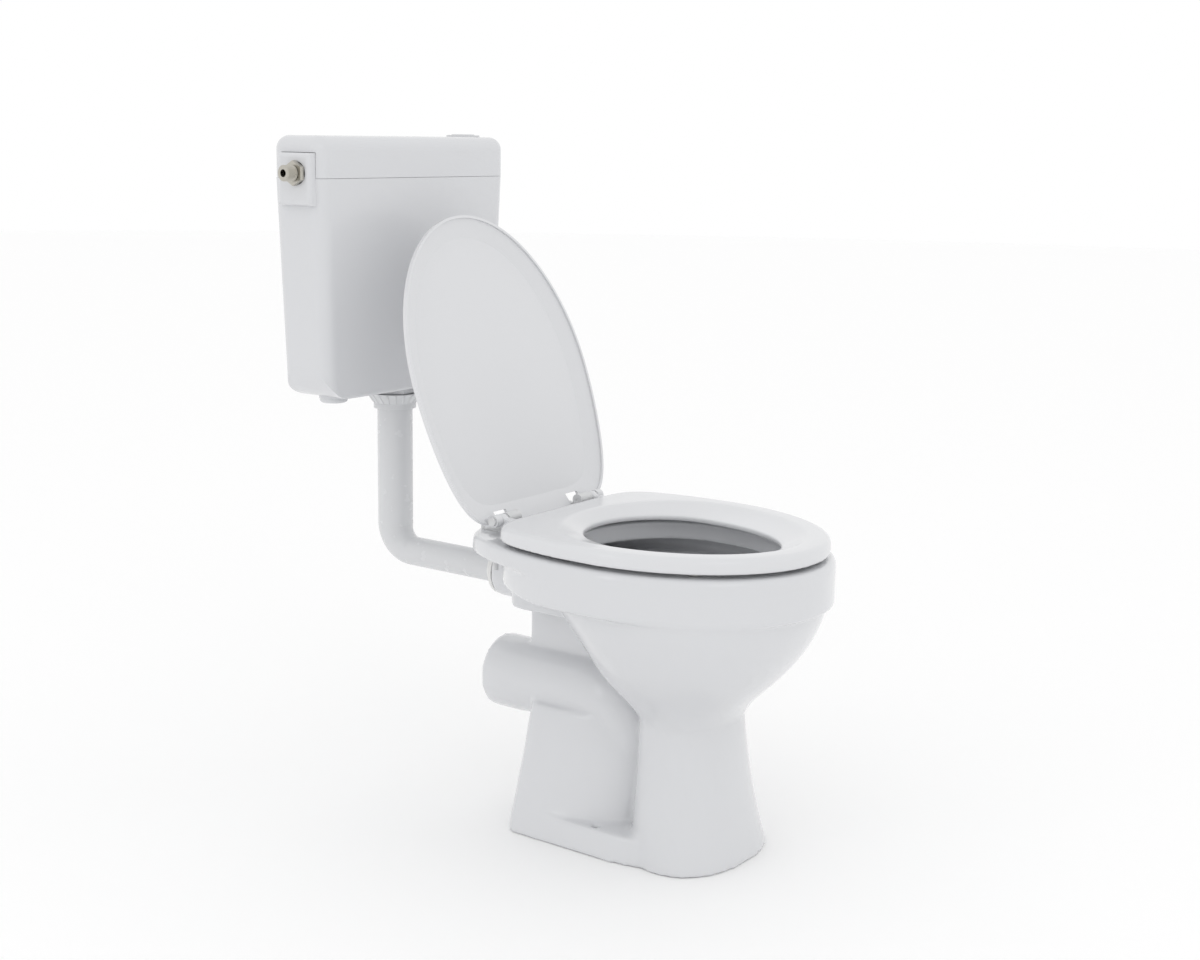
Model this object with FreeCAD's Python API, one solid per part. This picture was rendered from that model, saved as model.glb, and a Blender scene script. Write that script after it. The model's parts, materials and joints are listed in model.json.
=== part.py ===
"""Low-level toilet: glazed pan, slim plastic cistern, flush bend, seat and lid.

Frame: +Z up, +Y towards the wall, +X to the right of someone facing the pan.
Origin: on the floor, midway between the pan's two floor screws.
The seat lies down and the lid stands open, leaning back, at rest.
"""
import FreeCAD, Part

import math
import os

V = FreeCAD.Vector
X_AXIS = V(1, 0, 0)
Y_AXIS = V(0, 1, 0)
Z_AXIS = V(0, 0, 1)

# ---- Fits and clearances -------------------------------------------------------------
RUN = 0.05            # radial running clearance of a pin in its bore
SLIDE = 0.4           # radial clearance of a piece that slides in a guide
GAP = 0.6             # side gap between neighbours that move
LIFT_GAP = 1.5        # slack between the flush lever and what it lifts or is pressed by
OVER = 1.0            # how far a cutting tool passes the face that it opens

# ---- Pan: rim and shelf --------------------------------------------------------------
RIM_Z = 400.0         # top of the rim
RIM_HALF = 183.0      # half width at the widest line
WIDEST_Y = -32.0      # where the rim, seat and lid are widest
RIM_FRONT = 234.0     # widest line to the rim's front
RIM_TAPER = 310.0     # long half-axis of the narrowing rear sides
SHELF_REAR_Y = 208.0  # rear edge of the shelf
SHELF_THICK = 22.0
BAND_H = 60.0         # height of the rim band
BAND_REAR = 215.0     # widest line to the back of the band, under the shelf
RIM_ROUND = 8.0       # rounded edges of the rim
WALL = 12.0           # ceramic wall

# ---- Pan: bowl opening and well -------------------------------------------------------
MOUTH_HALF = 131.0    # inner edge of the rim
MOUTH_FRONT = 180.0
MOUTH_REAR = 112.0
RIM_LEDGE = 26.0      # depth of the rim's inner edge above the flushing channel

# ---- Pan: foot, outlet and horn --------------------------------------------------------
FOOT_HALF = 118.0     # half width of the foot at its rear
FOOT_REAR_Y = 142.0
FOOT_FRONT_Y = -176.0
FLANGE_H = 34.0       # height of the base flange beside the trap
FLANGE_DRAFT = 10.0   # how far the flange's sides lean in over that height
SCREW_X = 90.0        # half the distance between the floor screws
SCREW_HOLE_R = 5.0
OUTLET_Z = 180.0
OUTLET_R = 51.0
OUTLET_WALL = 8.0
OUTLET_END_Y = 228.0
SPIGOT_LEN = 50.0      # straight spigot that the drain's connector slides over
TUBE_STEP = 1.0       # the tube in front of the spigot is this much slimmer
BEND_R = 55.0         # centre-line radius of the trap's bend
BEND_Y = 60.0         # where the outlet's straight run meets the bend
TRAP_WIDEST_Y = 112.0 # where the trap's housing is widest
HORN_Z = 322.0
HORN_R = 35.5
HORN_END_Y = 225.0
CONE_WALL = 7.0       # rubber between the flush pipe and the horn
HORN_DEPTH = 34.0     # how deep the cone sits in the horn
HORN_FEED_R = 16.0    # flushing way from the horn to the bowl
BOWL_BACK_Y = 60.0    # where that way opens into the bowl
WAY_R = 37.0          # water way of the trap
WAY_WALL = 9.0
LINK_R = 32.0         # way under the seal, from the sump to the limb
LINK_Z = 78.0
SUMP_R = 42.0
SUMP_Y = -82.0
SUMP_TOP_Z = 164.0
SUMP_STEP = 3.0       # ledge where the well meets the sump

# ---- Hinge, seat and lid ----------------------------------------------------------------
HINGE_Y = 153.0
HINGE_Z = 419.0
BOLT_X = 77.5         # half of the standard 155 mm hinge spacing
BOLT_Y = 180.0
BOLT_R = 4.0
BOLT_HOLE_R = 7.0
PIN_R = 3.0
KNUCKLE_R = 8.0
SEAT_HALF = 178.0
SEAT_FRONT = 226.0
SEAT_REAR_Y = 132.0
SEAT_GAP = 5.0        # buffer height: rim to seat
SEAT_THICK = 20.0
HOLE_HALF = 104.0     # seat opening
HOLE_FRONT = 166.0
HOLE_REAR = 98.0
HOLE_EDGE = 7.0       # seat thickness at the opening
CREST = 26.0          # outer edge to the seat's crest
LID_THICK = 3.5
LID_H = 15.0          # depth of the lid's dish
LID_SLOPE = 27.0      # width of the sloping border
LID_GAP = 2.5         # closed lid to seat
LID_REAR_Y = 160.0    # just past the hinge
LID_NOTCH_Y = 140.0   # front of the notches that clear the hinge blocks
LID_OPEN_DEG = 110.5  # closed to the open stop

# ---- Cistern ------------------------------------------------------------------------------
WALL_Y = 473.0        # the wall's face
TANK_DEPTH = 90.0
TANK_HALF = 190.0     # half width at the seam, body and cover alike
TANK_Z = 557.0        # underside of the body
SEAM_Z = 850.0        # top edge of the body's front
TANK_TAPER = 15.0     # narrowing of each side from the seam to the base
TANK_TAPER_Y = 4.0    # the same for the front
TANK_ROUND = 20.0     # upright corners
TANK_CORNER = 46.0    # lower corners seen from the front
TANK_FRONT_ROUND = 6.0
TANK_WALL = 3.0
COVER_TOP_Z = 905.0
COVER_GAP = 1.0       # cover skirt to the body's lip inside it
SEAM_GAP = 0.5        # cover to the body's step under it
COVER_WALL = 3.0
COVER_ROUND = 18.0
COVER_LAP = 10.0      # height of the lip inside the cover's skirt
LIP_ROOT = 6.0        # depth of the step that carries the lip
WALL_HOLE_X = 120.0   # wall screw holes in the cistern's back
WALL_HOLE_Z = 800.0
WALL_HOLE_R = 3.5

# ---- Flush pipe -----------------------------------------------------------------------------
PIPE_Y = 430.0
PIPE_R = 25.0         # upright leg
LEG_R = 20.5          # level leg, into the horn
PIPE_WALL = 2.5
ELBOW_R = 36.0
PIPE_TOP_Z = 540.0
TAIL_R = 28.0         # threaded tail of the flush valve
TAIL_WALL = 5.0
TAIL_FLANGE = 5.0     # flange and washer beyond the tail
NUT_TOP_R = 40.0
NUT_LOW_R = 30.0
NUT_H = 22.0
WASHER_H = 2.5

# ---- Flush valve, lever and button ----------------------------------------------------------
CAGE_R = 33.0
CAGE_H = 70.0
TUBE_R = 13.0         # overflow tube
TUBE_TOP_Z = 800.0
SEAL_R = 28.0
BUTTON_X = 148.0
BUTTON_R = 17.0
LEVER_X = 100.0       # pivot of the lever
LEVER_Z = 834.0
LEVER_H = 12.0
LEVER_T = 8.0
LEVER_PIN_R = 4.0
COLLAR_DROP = 12.0    # tube's top to the collar that the lever lifts
PRONG_H = 6.0
BRACKET_GAP = 11.0    # flush valve's axis to the lever's bracket

# ---- Inlet valve and float ---------------------------------------------------------------------
INLET_Z = 857.0
INLET_Y = 415.0
SHANK_R = 10.45       # G1/2 thread
SHANK_OUT = 24.0      # shank beyond the boss
SHANK_NECK = 0.25     # the shank is this much slimmer from its nut inwards
NUT_LEN = 6.5         # inlet's nut
SEAL_LEN = 1.0        # washer under it
BOSS_OUT = 9.0        # inlet boss beyond the side
BOSS_HALF = 22.0      # inlet to the boss's front edge
BOSS_REAR = 36.0      # inlet to its rear edge
BOSS_ROUND = 6.0
BOSS_UP = 26.0        # inlet to the boss's top
BOSS_DOWN = 42.0
PLUNGER_R = 6.0
SPOUT_R = 6.0
SPOUT_DROP = 60.0
CHAMBER_R = 15.0
WATER_R = 5.0
FLOAT_PIN_R = 2.0
ARM_DROP = 8.0        # inlet's axis to the float's pivot
PLUG_DROP = 30.0      # blanked side entry below the inlet's height
FLOAT_ARM = 88.0
FLOAT_R = 24.0
PLUG_X = -122.0       # blanked bottom entry
ENTRY_H = 3.0         # its boss below the cistern
PLUG_H = 6.0


# ---- Small helpers ------------------------------------------------------------------------------
def box(x0, x1, y0, y1, z0, z1):
    return Part.makeBox(x1 - x0, y1 - y0, z1 - z0, V(x0, y0, z0))


def rod(r, start, axis, length):
    return Part.makeCylinder(r, length, V(*start), axis)


def ring(r_out, r_in, start, axis, length):
    return rod(r_out, start, axis, length).cut(rod(r_in, start, axis, length))


def cone(r0, r1, start, axis, length):
    return Part.makeCone(r0, r1, length, V(*start), axis)


def hexagon(r, start, axis, length):
    """A hexagonal prism with its corners at radius r."""
    side = V(0, 0, 1) if abs(axis.z) < 0.5 else V(1, 0, 0)
    other = axis.cross(side)
    turns = [math.radians(60 * k) for k in range(7)]
    corners = [V(*start) + side * (r * math.cos(a)) + other * (r * math.sin(a)) for a in turns]
    return Part.Face(Part.makePolygon(corners)).extrude(axis * length)


def fuse(first, *others):
    return first.fuse(list(others)).removeSplitter()


def fuse_raw(first, *others):
    """One solid whose seams between faces stay, for shapes with free-form faces."""
    return first.fuse(list(others))


def cut(shape, *tools):
    return shape.cut(list(tools))


def mirrored(shape):
    """The shape and its mirror image across the plane of symmetry."""
    return [shape, shape.mirror(V(0, 0, 0), X_AXIS)]


def quarter(square, steps=8):
    """A quarter superellipse from (1, 0) to (0, 1), evenly spread along both sides."""
    knee = 2 ** (-1 / square)
    shares = [knee * k / steps for k in range(steps + 1)]
    side = [((1 - u ** square) ** (1 / square), u) for u in shares]
    back = [(u, (1 - u ** square) ** (1 / square)) for u in reversed(shares[:-1])]
    return side + back


def closed_curve(points):
    curve = Part.BSplineCurve()
    curve.interpolate(Points=points, PeriodicFlag=True)
    return Part.Wire(curve.toShape())


def egg(z, half, front, rear, inset=0.0, centre=WIDEST_Y, square=2.0, nose_square=2.0, taper=None):
    """Closed outline at height z: a half ellipse in front of the widest line and a
    squarer, optionally tapering half behind it."""
    a = half - inset
    f = front - inset
    r = rear - inset
    nose = quarter(nose_square)
    tail = quarter(square)
    points = [V(a * x, centre - f * y, z) for x, y in nose]
    points += [V(-a * x, centre - f * y, z) for x, y in reversed(nose[:-1])]

    def narrowing(y):
        return math.sqrt(1 - (r * y / (taper - inset)) ** 2) if taper else 1.0
    points += [V(-a * x * narrowing(y), centre + r * y, z) for x, y in tail[1:]]
    points += [V(a * x * narrowing(y), centre + r * y, z) for x, y in reversed(tail[1:-1])]
    return closed_curve(points)


def prism(wire, height):
    return Part.Face(wire).extrude(V(0, 0, height))


def loft(wires, ruled=False):
    return Part.makeLoft(wires, True, ruled)


def oval(z, front_y, rear_y, half, square=2.3):
    """Closed superellipse at height z between two y values."""
    reach = (rear_y - front_y) / 2
    return egg(z, half, reach, reach, centre=(front_y + rear_y) / 2, square=square, nose_square=square)


def edges_at(shape, z):
    """Edges that lie wholly at height z."""
    found = []
    for edge in shape.Edges:
        bound = edge.BoundBox
        if abs(bound.ZMin - z) < 0.01 and abs(bound.ZMax - z) < 0.01:
            found.append(edge)
    return found


# ---- Pan -----------------------------------------------------------------------------------------
# Outside of the bowl: share of the rim's height, then the front and rear offsets from the
# widest line and the half width, as shares of the rim's, and how square the oval is.
BOWL_FORM = [
    (0.862, 0.948, 0.67, 0.918, 2.1),
    (0.790, 0.918, 0.56, 0.874, 2.1),
    (0.722, 0.866, 0.46, 0.806, 2.1),
    (0.655, 0.790, 0.37, 0.727, 2.1),
    (0.588, 0.690, 0.29, 0.628, 2.1),
    (0.520, 0.570, 0.14, 0.515, 2.2),
    (0.450, 0.484, 0.02, 0.426, 2.3),
]
# The column that carries it, in the same terms.
COLUMN_FORM = [
    (0.450, 0.484, 0.02, 0.426, 2.3),
    (0.300, 0.512, 0.02, 0.458, 2.3),
    (0.150, 0.552, 0.02, 0.512, 2.3),
    (0.0, 0.615, 0.02, 0.580, 2.3),
]
# The trap's housing behind it: share of the outlet's height, front y and half width as a
# share of the foot's. It is round in front, where the trap rises, and widest at the rear.
TRAP_FORM = [
    (0.0, -44.0, 0.95),
    (0.22, -46.0, 0.85),
    (0.45, -46.0, 0.73),
    (0.68, -45.0, 0.62),
    (0.92, -33.0, 0.50),
]


def bowl_wire(row, inset=0.0, z=None):
    share, front, rear, half, square = row
    height = share * RIM_Z if z is None else z
    front_y = WIDEST_Y - front * RIM_FRONT + inset
    rear_y = WIDEST_Y + rear * BAND_REAR - inset
    return oval(height, front_y, rear_y, half * RIM_HALF - inset, square)


def trap_wire(row, inset=0.0):
    share, front_y, half = row
    nose = TRAP_WIDEST_Y - front_y
    tail = FOOT_REAR_Y - TRAP_WIDEST_Y
    return egg(share * OUTLET_Z, half * FOOT_HALF, nose, tail, inset, TRAP_WIDEST_Y, 4.0, 2.2)


def trap_tube(r, low_z, end_y):
    """The upright limb of the water way and its level run to the back."""
    limb = rod(r, (0, BEND_Y - BEND_R, low_z), Z_AXIS, OUTLET_Z - BEND_R - low_z)
    run = rod(r, (0, BEND_Y, OUTLET_Z), Y_AXIS, end_y - BEND_Y)
    return limb, run


def quarter_bend(r):
    """Quarter torus from the limb's top to the start of the outlet's run."""
    section = Part.Wire(Part.makeCircle(r, V(0, BEND_Y - BEND_R, OUTLET_Z - BEND_R), Z_AXIS))
    return Part.Face(section).revolve(V(0, BEND_Y, OUTLET_Z - BEND_R), V(-1, 0, 0), 90)


def pan_outside():
    shelf = prism(rim_wire(RIM_Z - SHELF_THICK), SHELF_THICK)
    shelf = shelf.makeFillet(RIM_ROUND, edges_at(shelf, RIM_Z))
    deep = prism(rim_wire(RIM_Z - BAND_H), BAND_H - SHELF_THICK + OVER)
    band_oval = prism(egg(RIM_Z - BAND_H - OVER, RIM_HALF + 4, RIM_FRONT + 4, BAND_REAR), BAND_H)
    band = deep.common(band_oval)
    bowl = loft([bowl_wire(row) for row in BOWL_FORM])
    column = loft([bowl_wire(row) for row in COLUMN_FORM])
    flange = loft([foot_wire(0.0, 0.0), foot_wire(FLANGE_H, FLANGE_DRAFT)], True)
    housing = loft([trap_wire(row) for row in TRAP_FORM])
    tube_r = OUTLET_R - TUBE_STEP
    limb, run = trap_tube(tube_r, FLANGE_H, OUTLET_END_Y - SPIGOT_LEN + OVER)
    spigot = rod(OUTLET_R, (0, OUTLET_END_Y - SPIGOT_LEN, OUTLET_Z), Y_AXIS, SPIGOT_LEN)
    horn_back = rod(HORN_R, (0, WIDEST_Y + 60, HORN_Z), Y_AXIS, HORN_END_Y - WIDEST_Y - 60)
    saddle_y = WIDEST_Y + BAND_REAR - 4
    saddle = box(-60, 60, 40, saddle_y, HORN_Z - HORN_R + 3, RIM_Z - SHELF_THICK + OVER)
    uprights = [e for e in saddle.Edges if e.Length > BAND_H and abs(e.Vertexes[0].Y - saddle_y) < 0.1
                and abs(e.Vertexes[1].Y - saddle_y) < 0.1 and abs(e.Vertexes[0].X - e.Vertexes[1].X) < 0.1]
    saddle = saddle.makeFillet(24, uprights)
    web = box(-13, 13, 0, saddle_y - 8, OUTLET_Z, HORN_Z)
    return fuse_raw(shelf, band, bowl, column, flange, housing, limb, quarter_bend(tube_r), run,
                    spigot, horn_back, saddle, web)


def rim_wire(z, inset=0.0):
    return egg(z, RIM_HALF, RIM_FRONT, SHELF_REAR_Y - WIDEST_Y, inset, square=7.0, taper=RIM_TAPER)


def foot_wire(z, inset):
    """Outline of the foot: wide and square at the rear, a round nose in front."""
    return egg(z, FOOT_HALF - 6, -FOOT_FRONT_Y - 20, FOOT_REAR_Y + 20, inset, centre=-20.0, square=9.0)


def water_way(r, link_r, sump_r, low_z):
    """Sump, link, limb, bend and run of the trap, as one shape of the given radii."""
    limb, run = trap_tube(r, low_z, OUTLET_END_Y - OVER)
    sump = rod(sump_r, (0, SUMP_Y, low_z), Z_AXIS, SUMP_TOP_Z + OVER - low_z)
    link = rod(link_r, (0, SUMP_Y, LINK_Z), Y_AXIS, BEND_Y - BEND_R - SUMP_Y)
    return fuse_raw(limb, quarter_bend(r), run, sump, link)


def pan_hollows():
    """Everything that is open in the pan above the floor: well, trap, horn and holes."""
    channel_z = RIM_Z - RIM_LEDGE
    low_z = RIM_Z - BAND_H + WALL
    mouth = prism(egg(channel_z, MOUTH_HALF, MOUTH_FRONT, MOUTH_REAR), RIM_LEDGE + OVER)
    wall = WALL + 2
    channel = prism(egg(low_z, RIM_HALF, RIM_FRONT, BAND_REAR, wall), channel_z - low_z)
    rows = [BOWL_FORM[k] for k in (0, 2, 4, 5)]
    well = loft([bowl_wire(row, wall) for row in rows] + [
        oval(SUMP_TOP_Z, SUMP_Y - SUMP_R - SUMP_STEP, SUMP_Y + SUMP_R + SUMP_STEP, SUMP_R + SUMP_STEP, 2.0)])
    collar = prism(bowl_wire(BOWL_FORM[0], wall), low_z + OVER - BOWL_FORM[0][0] * RIM_Z)
    throat = rod(HORN_FEED_R, (0, BOWL_BACK_Y, HORN_Z + 8), Y_AXIS, HORN_END_Y - HORN_DEPTH - BOWL_BACK_Y)
    horn = rod(LEG_R + CONE_WALL, (0, HORN_END_Y - HORN_DEPTH, HORN_Z), Y_AXIS, HORN_DEPTH + OVER)
    spigot = rod(OUTLET_R - OUTLET_WALL, (0, OUTLET_END_Y - 60, OUTLET_Z), Y_AXIS, 60 + OVER)
    tools = [mouth, channel, collar, well, water_way(WAY_R, LINK_R, SUMP_R, LINK_Z), spigot, horn, throat]
    tools += mirrored(rod(SCREW_HOLE_R, (SCREW_X, 0, -OVER), Z_AXIS, FLANGE_H + 2 * OVER))
    bolt_run = SHELF_THICK + 2 * OVER
    tools += mirrored(rod(BOLT_HOLE_R, (BOLT_X, BOLT_Y, RIM_Z - SHELF_THICK - OVER), Z_AXIS, bolt_run))
    return tools


def under_hollow():
    """The foot's open underside round the walls of the water way."""
    column = loft([bowl_wire(row, WALL) for row in COLUMN_FORM[1:]])
    column_mouth = prism(bowl_wire(COLUMN_FORM[-1], WALL, -OVER), OVER)
    rear = loft([trap_wire(row, WALL) for row in TRAP_FORM[:4]])
    rear_mouth = prism(trap_wire(TRAP_FORM[0], WALL).translated(V(0, 0, -OVER)), OVER)
    walls = water_way(WAY_R + WAY_WALL, LINK_R + WAY_WALL, SUMP_R + WAY_WALL, LINK_Z)
    sump_floor = Part.makeSphere(SUMP_R + WAY_WALL, V(0, SUMP_Y, LINK_Z))
    limb_floor = Part.makeSphere(WAY_R + WAY_WALL, V(0, BEND_Y - BEND_R, LINK_Z))
    kept = [walls, sump_floor, limb_floor]
    return [fuse_raw(column, column_mouth).cut(kept), fuse_raw(rear, rear_mouth).cut(kept)]


def pan():
    return cut(pan_outside(), *pan_hollows(), *under_hollow())


# ---- Hinge --------------------------------------------------------------------------------------
BLOCK_X0 = BOLT_X - 12.0                  # hinge block, along X
BLOCK_X1 = BOLT_X + 13.0
SEAT_LUG_X0 = BLOCK_X1 + GAP
SEAT_LUG_X1 = SEAT_LUG_X0 + 13.0
LID_LUG_X0 = SEAT_LUG_X1 + GAP
LID_LUG_X1 = LID_LUG_X0 + 11.0
BLOCK_H = 6.0


def hinge_blocks():
    plate = box(BLOCK_X0, BLOCK_X1, HINGE_Y + 2, BOLT_Y + 14, RIM_Z, RIM_Z + BLOCK_H)
    knuckle = rod(KNUCKLE_R, (BLOCK_X0, HINGE_Y, HINGE_Z), X_AXIS, BLOCK_X1 - BLOCK_X0)
    post = box(BLOCK_X0, BLOCK_X1, HINGE_Y - 5, HINGE_Y + 7, RIM_Z, HINGE_Z)
    block = fuse(plate, knuckle, post)
    bolt_hole = rod(BOLT_R + 0.3, (BOLT_X, BOLT_Y, RIM_Z - OVER), Z_AXIS, BLOCK_H + 2 * OVER)
    pin_hole = rod(PIN_R, (BLOCK_X0 - OVER, HINGE_Y, HINGE_Z), X_AXIS, BLOCK_X1 - BLOCK_X0 + 2 * OVER)
    return cut(block, bolt_hole, pin_hole)


def hinge_pins():
    start = BLOCK_X0 + 1
    pin = rod(PIN_R, (start, HINGE_Y, HINGE_Z), X_AXIS, LID_LUG_X1 - start + GAP)
    head = rod(PIN_R + 2.5, (LID_LUG_X1 + GAP, HINGE_Y, HINGE_Z), X_AXIS, 2.5)
    return Part.makeCompound(mirrored(fuse(pin, head)))


def hinge_bolts():
    head = rod(BOLT_R + 5, (BOLT_X, BOLT_Y, RIM_Z + BLOCK_H), Z_AXIS, 5.0)
    shank = rod(BOLT_R, (BOLT_X, BOLT_Y, RIM_Z - SHELF_THICK - 34), Z_AXIS, SHELF_THICK + BLOCK_H + 34)
    return Part.makeCompound(mirrored(fuse(head, shank)))


def hinge_washers():
    z = RIM_Z - SHELF_THICK - WASHER_H
    return Part.makeCompound(mirrored(ring(13.0, BOLT_R, (BOLT_X, BOLT_Y, z), Z_AXIS, WASHER_H)))


def wing_nuts():
    z = RIM_Z - SHELF_THICK - WASHER_H - 10
    hub = rod(8.0, (BOLT_X, BOLT_Y, z), Z_AXIS, 10.0)
    wings = box(BOLT_X - 15, BOLT_X + 15, BOLT_Y - 1.5, BOLT_Y + 1.5, z - 7, z + 6)
    body = fuse(hub, wings)
    return Part.makeCompound(mirrored(body.cut(rod(BOLT_R, (BOLT_X, BOLT_Y, z - 10), Z_AXIS, 30))))


def lug(x0, x1, body_y, radius, low, high):
    """A hinge lug from a body's rear edge to the pin, with its running bore."""
    eye = rod(radius, (x0, HINGE_Y, HINGE_Z), X_AXIS, x1 - x0)
    arm = box(x0, x1, body_y, HINGE_Y, low, high)
    return fuse(eye, arm)


# ---- Seat ---------------------------------------------------------------------------------------
SEAT_Z0 = RIM_Z + SEAT_GAP
SEAT_Z1 = SEAT_Z0 + SEAT_THICK


def seat_wire(z, inset=0.0):
    return egg(z, SEAT_HALF, SEAT_FRONT, SEAT_REAR_Y - WIDEST_Y, inset, square=8.0, taper=RIM_TAPER)


def seat():
    slab = prism(seat_wire(SEAT_Z0), SEAT_THICK)
    slab = slab.makeFillet(9.0, edges_at(slab, SEAT_Z1))
    edge_z = SEAT_Z0 + HOLE_EDGE
    dish = loft([
        egg(edge_z, HOLE_HALF, HOLE_FRONT, HOLE_REAR),
        egg(SEAT_Z1 + 0.5, SEAT_HALF - CREST, SEAT_FRONT - CREST, HOLE_REAR + 24),
    ], True)
    hole = prism(egg(SEAT_Z0 - OVER, HOLE_HALF, HOLE_FRONT, HOLE_REAR), HOLE_EDGE + OVER)
    lugs = mirrored(lug(SEAT_LUG_X0, SEAT_LUG_X1, SEAT_REAR_Y - 12, KNUCKLE_R, SEAT_Z0 + 3, SEAT_Z1 - 3))
    bore_x = LID_LUG_X1 + 20
    bore = rod(PIN_R + RUN, (-bore_x, HINGE_Y, HINGE_Z), X_AXIS, 2 * bore_x)
    return cut(fuse(slab, *lugs), dish, hole, bore)


BUFFER_PLACES = [(136.0, WIDEST_Y + 70), (120.0, WIDEST_Y - 130)]


def seat_buffers():
    pads = []
    for x, y in BUFFER_PLACES:
        pad = rod(9.0, (x, y, RIM_Z + 0.2), Z_AXIS, SEAT_GAP - 0.2)
        pads += mirrored(pad.makeFillet(2.0, edges_at(pad, RIM_Z + 0.2)))
    return Part.makeCompound(pads)


# ---- Lid ----------------------------------------------------------------------------------------
LID_Z0 = SEAT_Z1 + LID_GAP
LID_Z1 = LID_Z0 + LID_H


def lid_wire(z, inset):
    return egg(z, SEAT_HALF + 1, SEAT_FRONT + 1, LID_REAR_Y - WIDEST_Y, inset, square=8.0, taper=RIM_TAPER)


def opened(shape):
    """Turns a piece of the closed lid about the hinge to its open stop."""
    turned = shape.copy()
    turned.rotate(V(0, HINGE_Y, HINGE_Z), X_AXIS, -LID_OPEN_DEG)
    return turned


def lid():
    outside = loft([lid_wire(LID_Z0, 0.0), lid_wire(LID_Z0 + 6, 0.0)], True)
    crown = loft([lid_wire(LID_Z0 + 6, 0.0), lid_wire(LID_Z1, LID_SLOPE)], True)
    dish = loft([lid_wire(LID_Z0 - OVER, LID_THICK), lid_wire(LID_Z0 + 3, LID_THICK)], True)
    roof = loft([lid_wire(LID_Z0 + 3, LID_THICK), lid_wire(LID_Z1 - LID_THICK, LID_SLOPE + 1)], True)
    shell = cut(fuse(outside, crown), dish, roof)
    arm = box(LID_LUG_X0, LID_LUG_X1, HINGE_Y - 6, HINGE_Y + 5, HINGE_Z, LID_Z0 + 6.5)
    eye = rod(KNUCKLE_R, (LID_LUG_X0, HINGE_Y, HINGE_Z), X_AXIS, LID_LUG_X1 - LID_LUG_X0)
    bore = rod(PIN_R + RUN, (-2 * LID_LUG_X1, HINGE_Y, HINGE_Z), X_AXIS, 4 * LID_LUG_X1)
    notch = box(BLOCK_X0 - GAP, BLOCK_X1 + GAP, LID_NOTCH_Y, LID_REAR_Y + OVER, LID_Z0 - OVER, LID_Z1 + OVER)
    return opened(cut(fuse(shell, *mirrored(fuse(arm, eye))), bore, *mirrored(notch)))


# ---- Cistern --------------------------------------------------------------------------------------
TANK_FRONT_Y = WALL_Y - TANK_DEPTH
BOSS_X = -(TANK_HALF + BOSS_OUT)


def slab_wire(z, half, front_y, rear_y, r):
    """A rectangle with round corners at height z."""
    plate = Part.makePlane(2 * half, rear_y - front_y, V(-half, front_y, z))
    corners = plate.OuterWire
    flat = Part.Face(corners).extrude(V(0, 0, 1))
    upright = [e for e in flat.Edges if abs(e.Vertexes[0].Z - e.Vertexes[1].Z) > 0.5]
    flat = flat.makeFillet(r, upright)
    return [f for f in flat.Faces if abs(f.CenterOfMass.z - z) < 0.01][0].OuterWire


def tank_form(inset, z_low, z_high, past=0.0):
    """The tapered block of the body, from z_low to z_high, drawn in by inset. Its back may
    run past the wall's face, for a piece that is trimmed there afterwards."""
    def share(z):
        return (SEAM_Z - z) / (SEAM_Z - TANK_Z)

    def section(z):
        front = TANK_FRONT_Y + TANK_TAPER_Y * share(z) + inset
        return slab_wire(z, side_x(z) - inset, front, WALL_Y - inset + past, TANK_ROUND - inset)
    return loft([section(z_low), section(z_high)], True)


def side_x(z):
    """Half width of the cistern's body at height z."""
    return TANK_HALF - TANK_TAPER * (SEAM_Z - z) / (SEAM_Z - TANK_Z)


def tank_front(inset, z_low, z_high):
    """The body's front view with its round lower corners, extruded through its depth."""
    low = side_x(z_low) - inset
    high = side_x(z_high) - inset
    y = TANK_FRONT_Y - OVER
    corners = [V(-low, y, z_low), V(low, y, z_low), V(high, y, z_high), V(-high, y, z_high), V(-low, y, z_low)]
    block = Part.Face(Part.makePolygon(corners)).extrude(V(0, TANK_DEPTH + 2 * OVER, 0))
    lower = [e for e in edges_at(block, z_low) if e.BoundBox.YLength > OVER]
    return block.makeFillet(TANK_CORNER - inset, lower)


def tank_side(inset, z_low, z_high):
    """The body's side view with its round lower front edge, extruded through its width."""
    def front(z):
        return TANK_FRONT_Y + TANK_TAPER_Y * (SEAM_Z - z) / (SEAM_Z - TANK_Z) + inset
    x = -TANK_HALF - OVER
    back = WALL_Y - inset
    corners = [V(x, front(z_low), z_low), V(x, back, z_low), V(x, back, z_high), V(x, front(z_high), z_high)]
    block = Part.Face(Part.makePolygon(corners + corners[:1])).extrude(V(2 * TANK_HALF + 2 * OVER, 0, 0))
    lower = [e for e in edges_at(block, z_low) if e.BoundBox.XLength > OVER and e.BoundBox.YMax < WALL_Y - TANK_DEPTH / 2]
    return block.makeFillet(TANK_FRONT_ROUND - inset, lower)


def tank_block(inset, z_low, z_high):
    whole = tank_form(inset, z_low, z_high, OVER).common(tank_front(inset, z_low, z_high))
    return whole.common(tank_side(inset, z_low, z_high))


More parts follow.
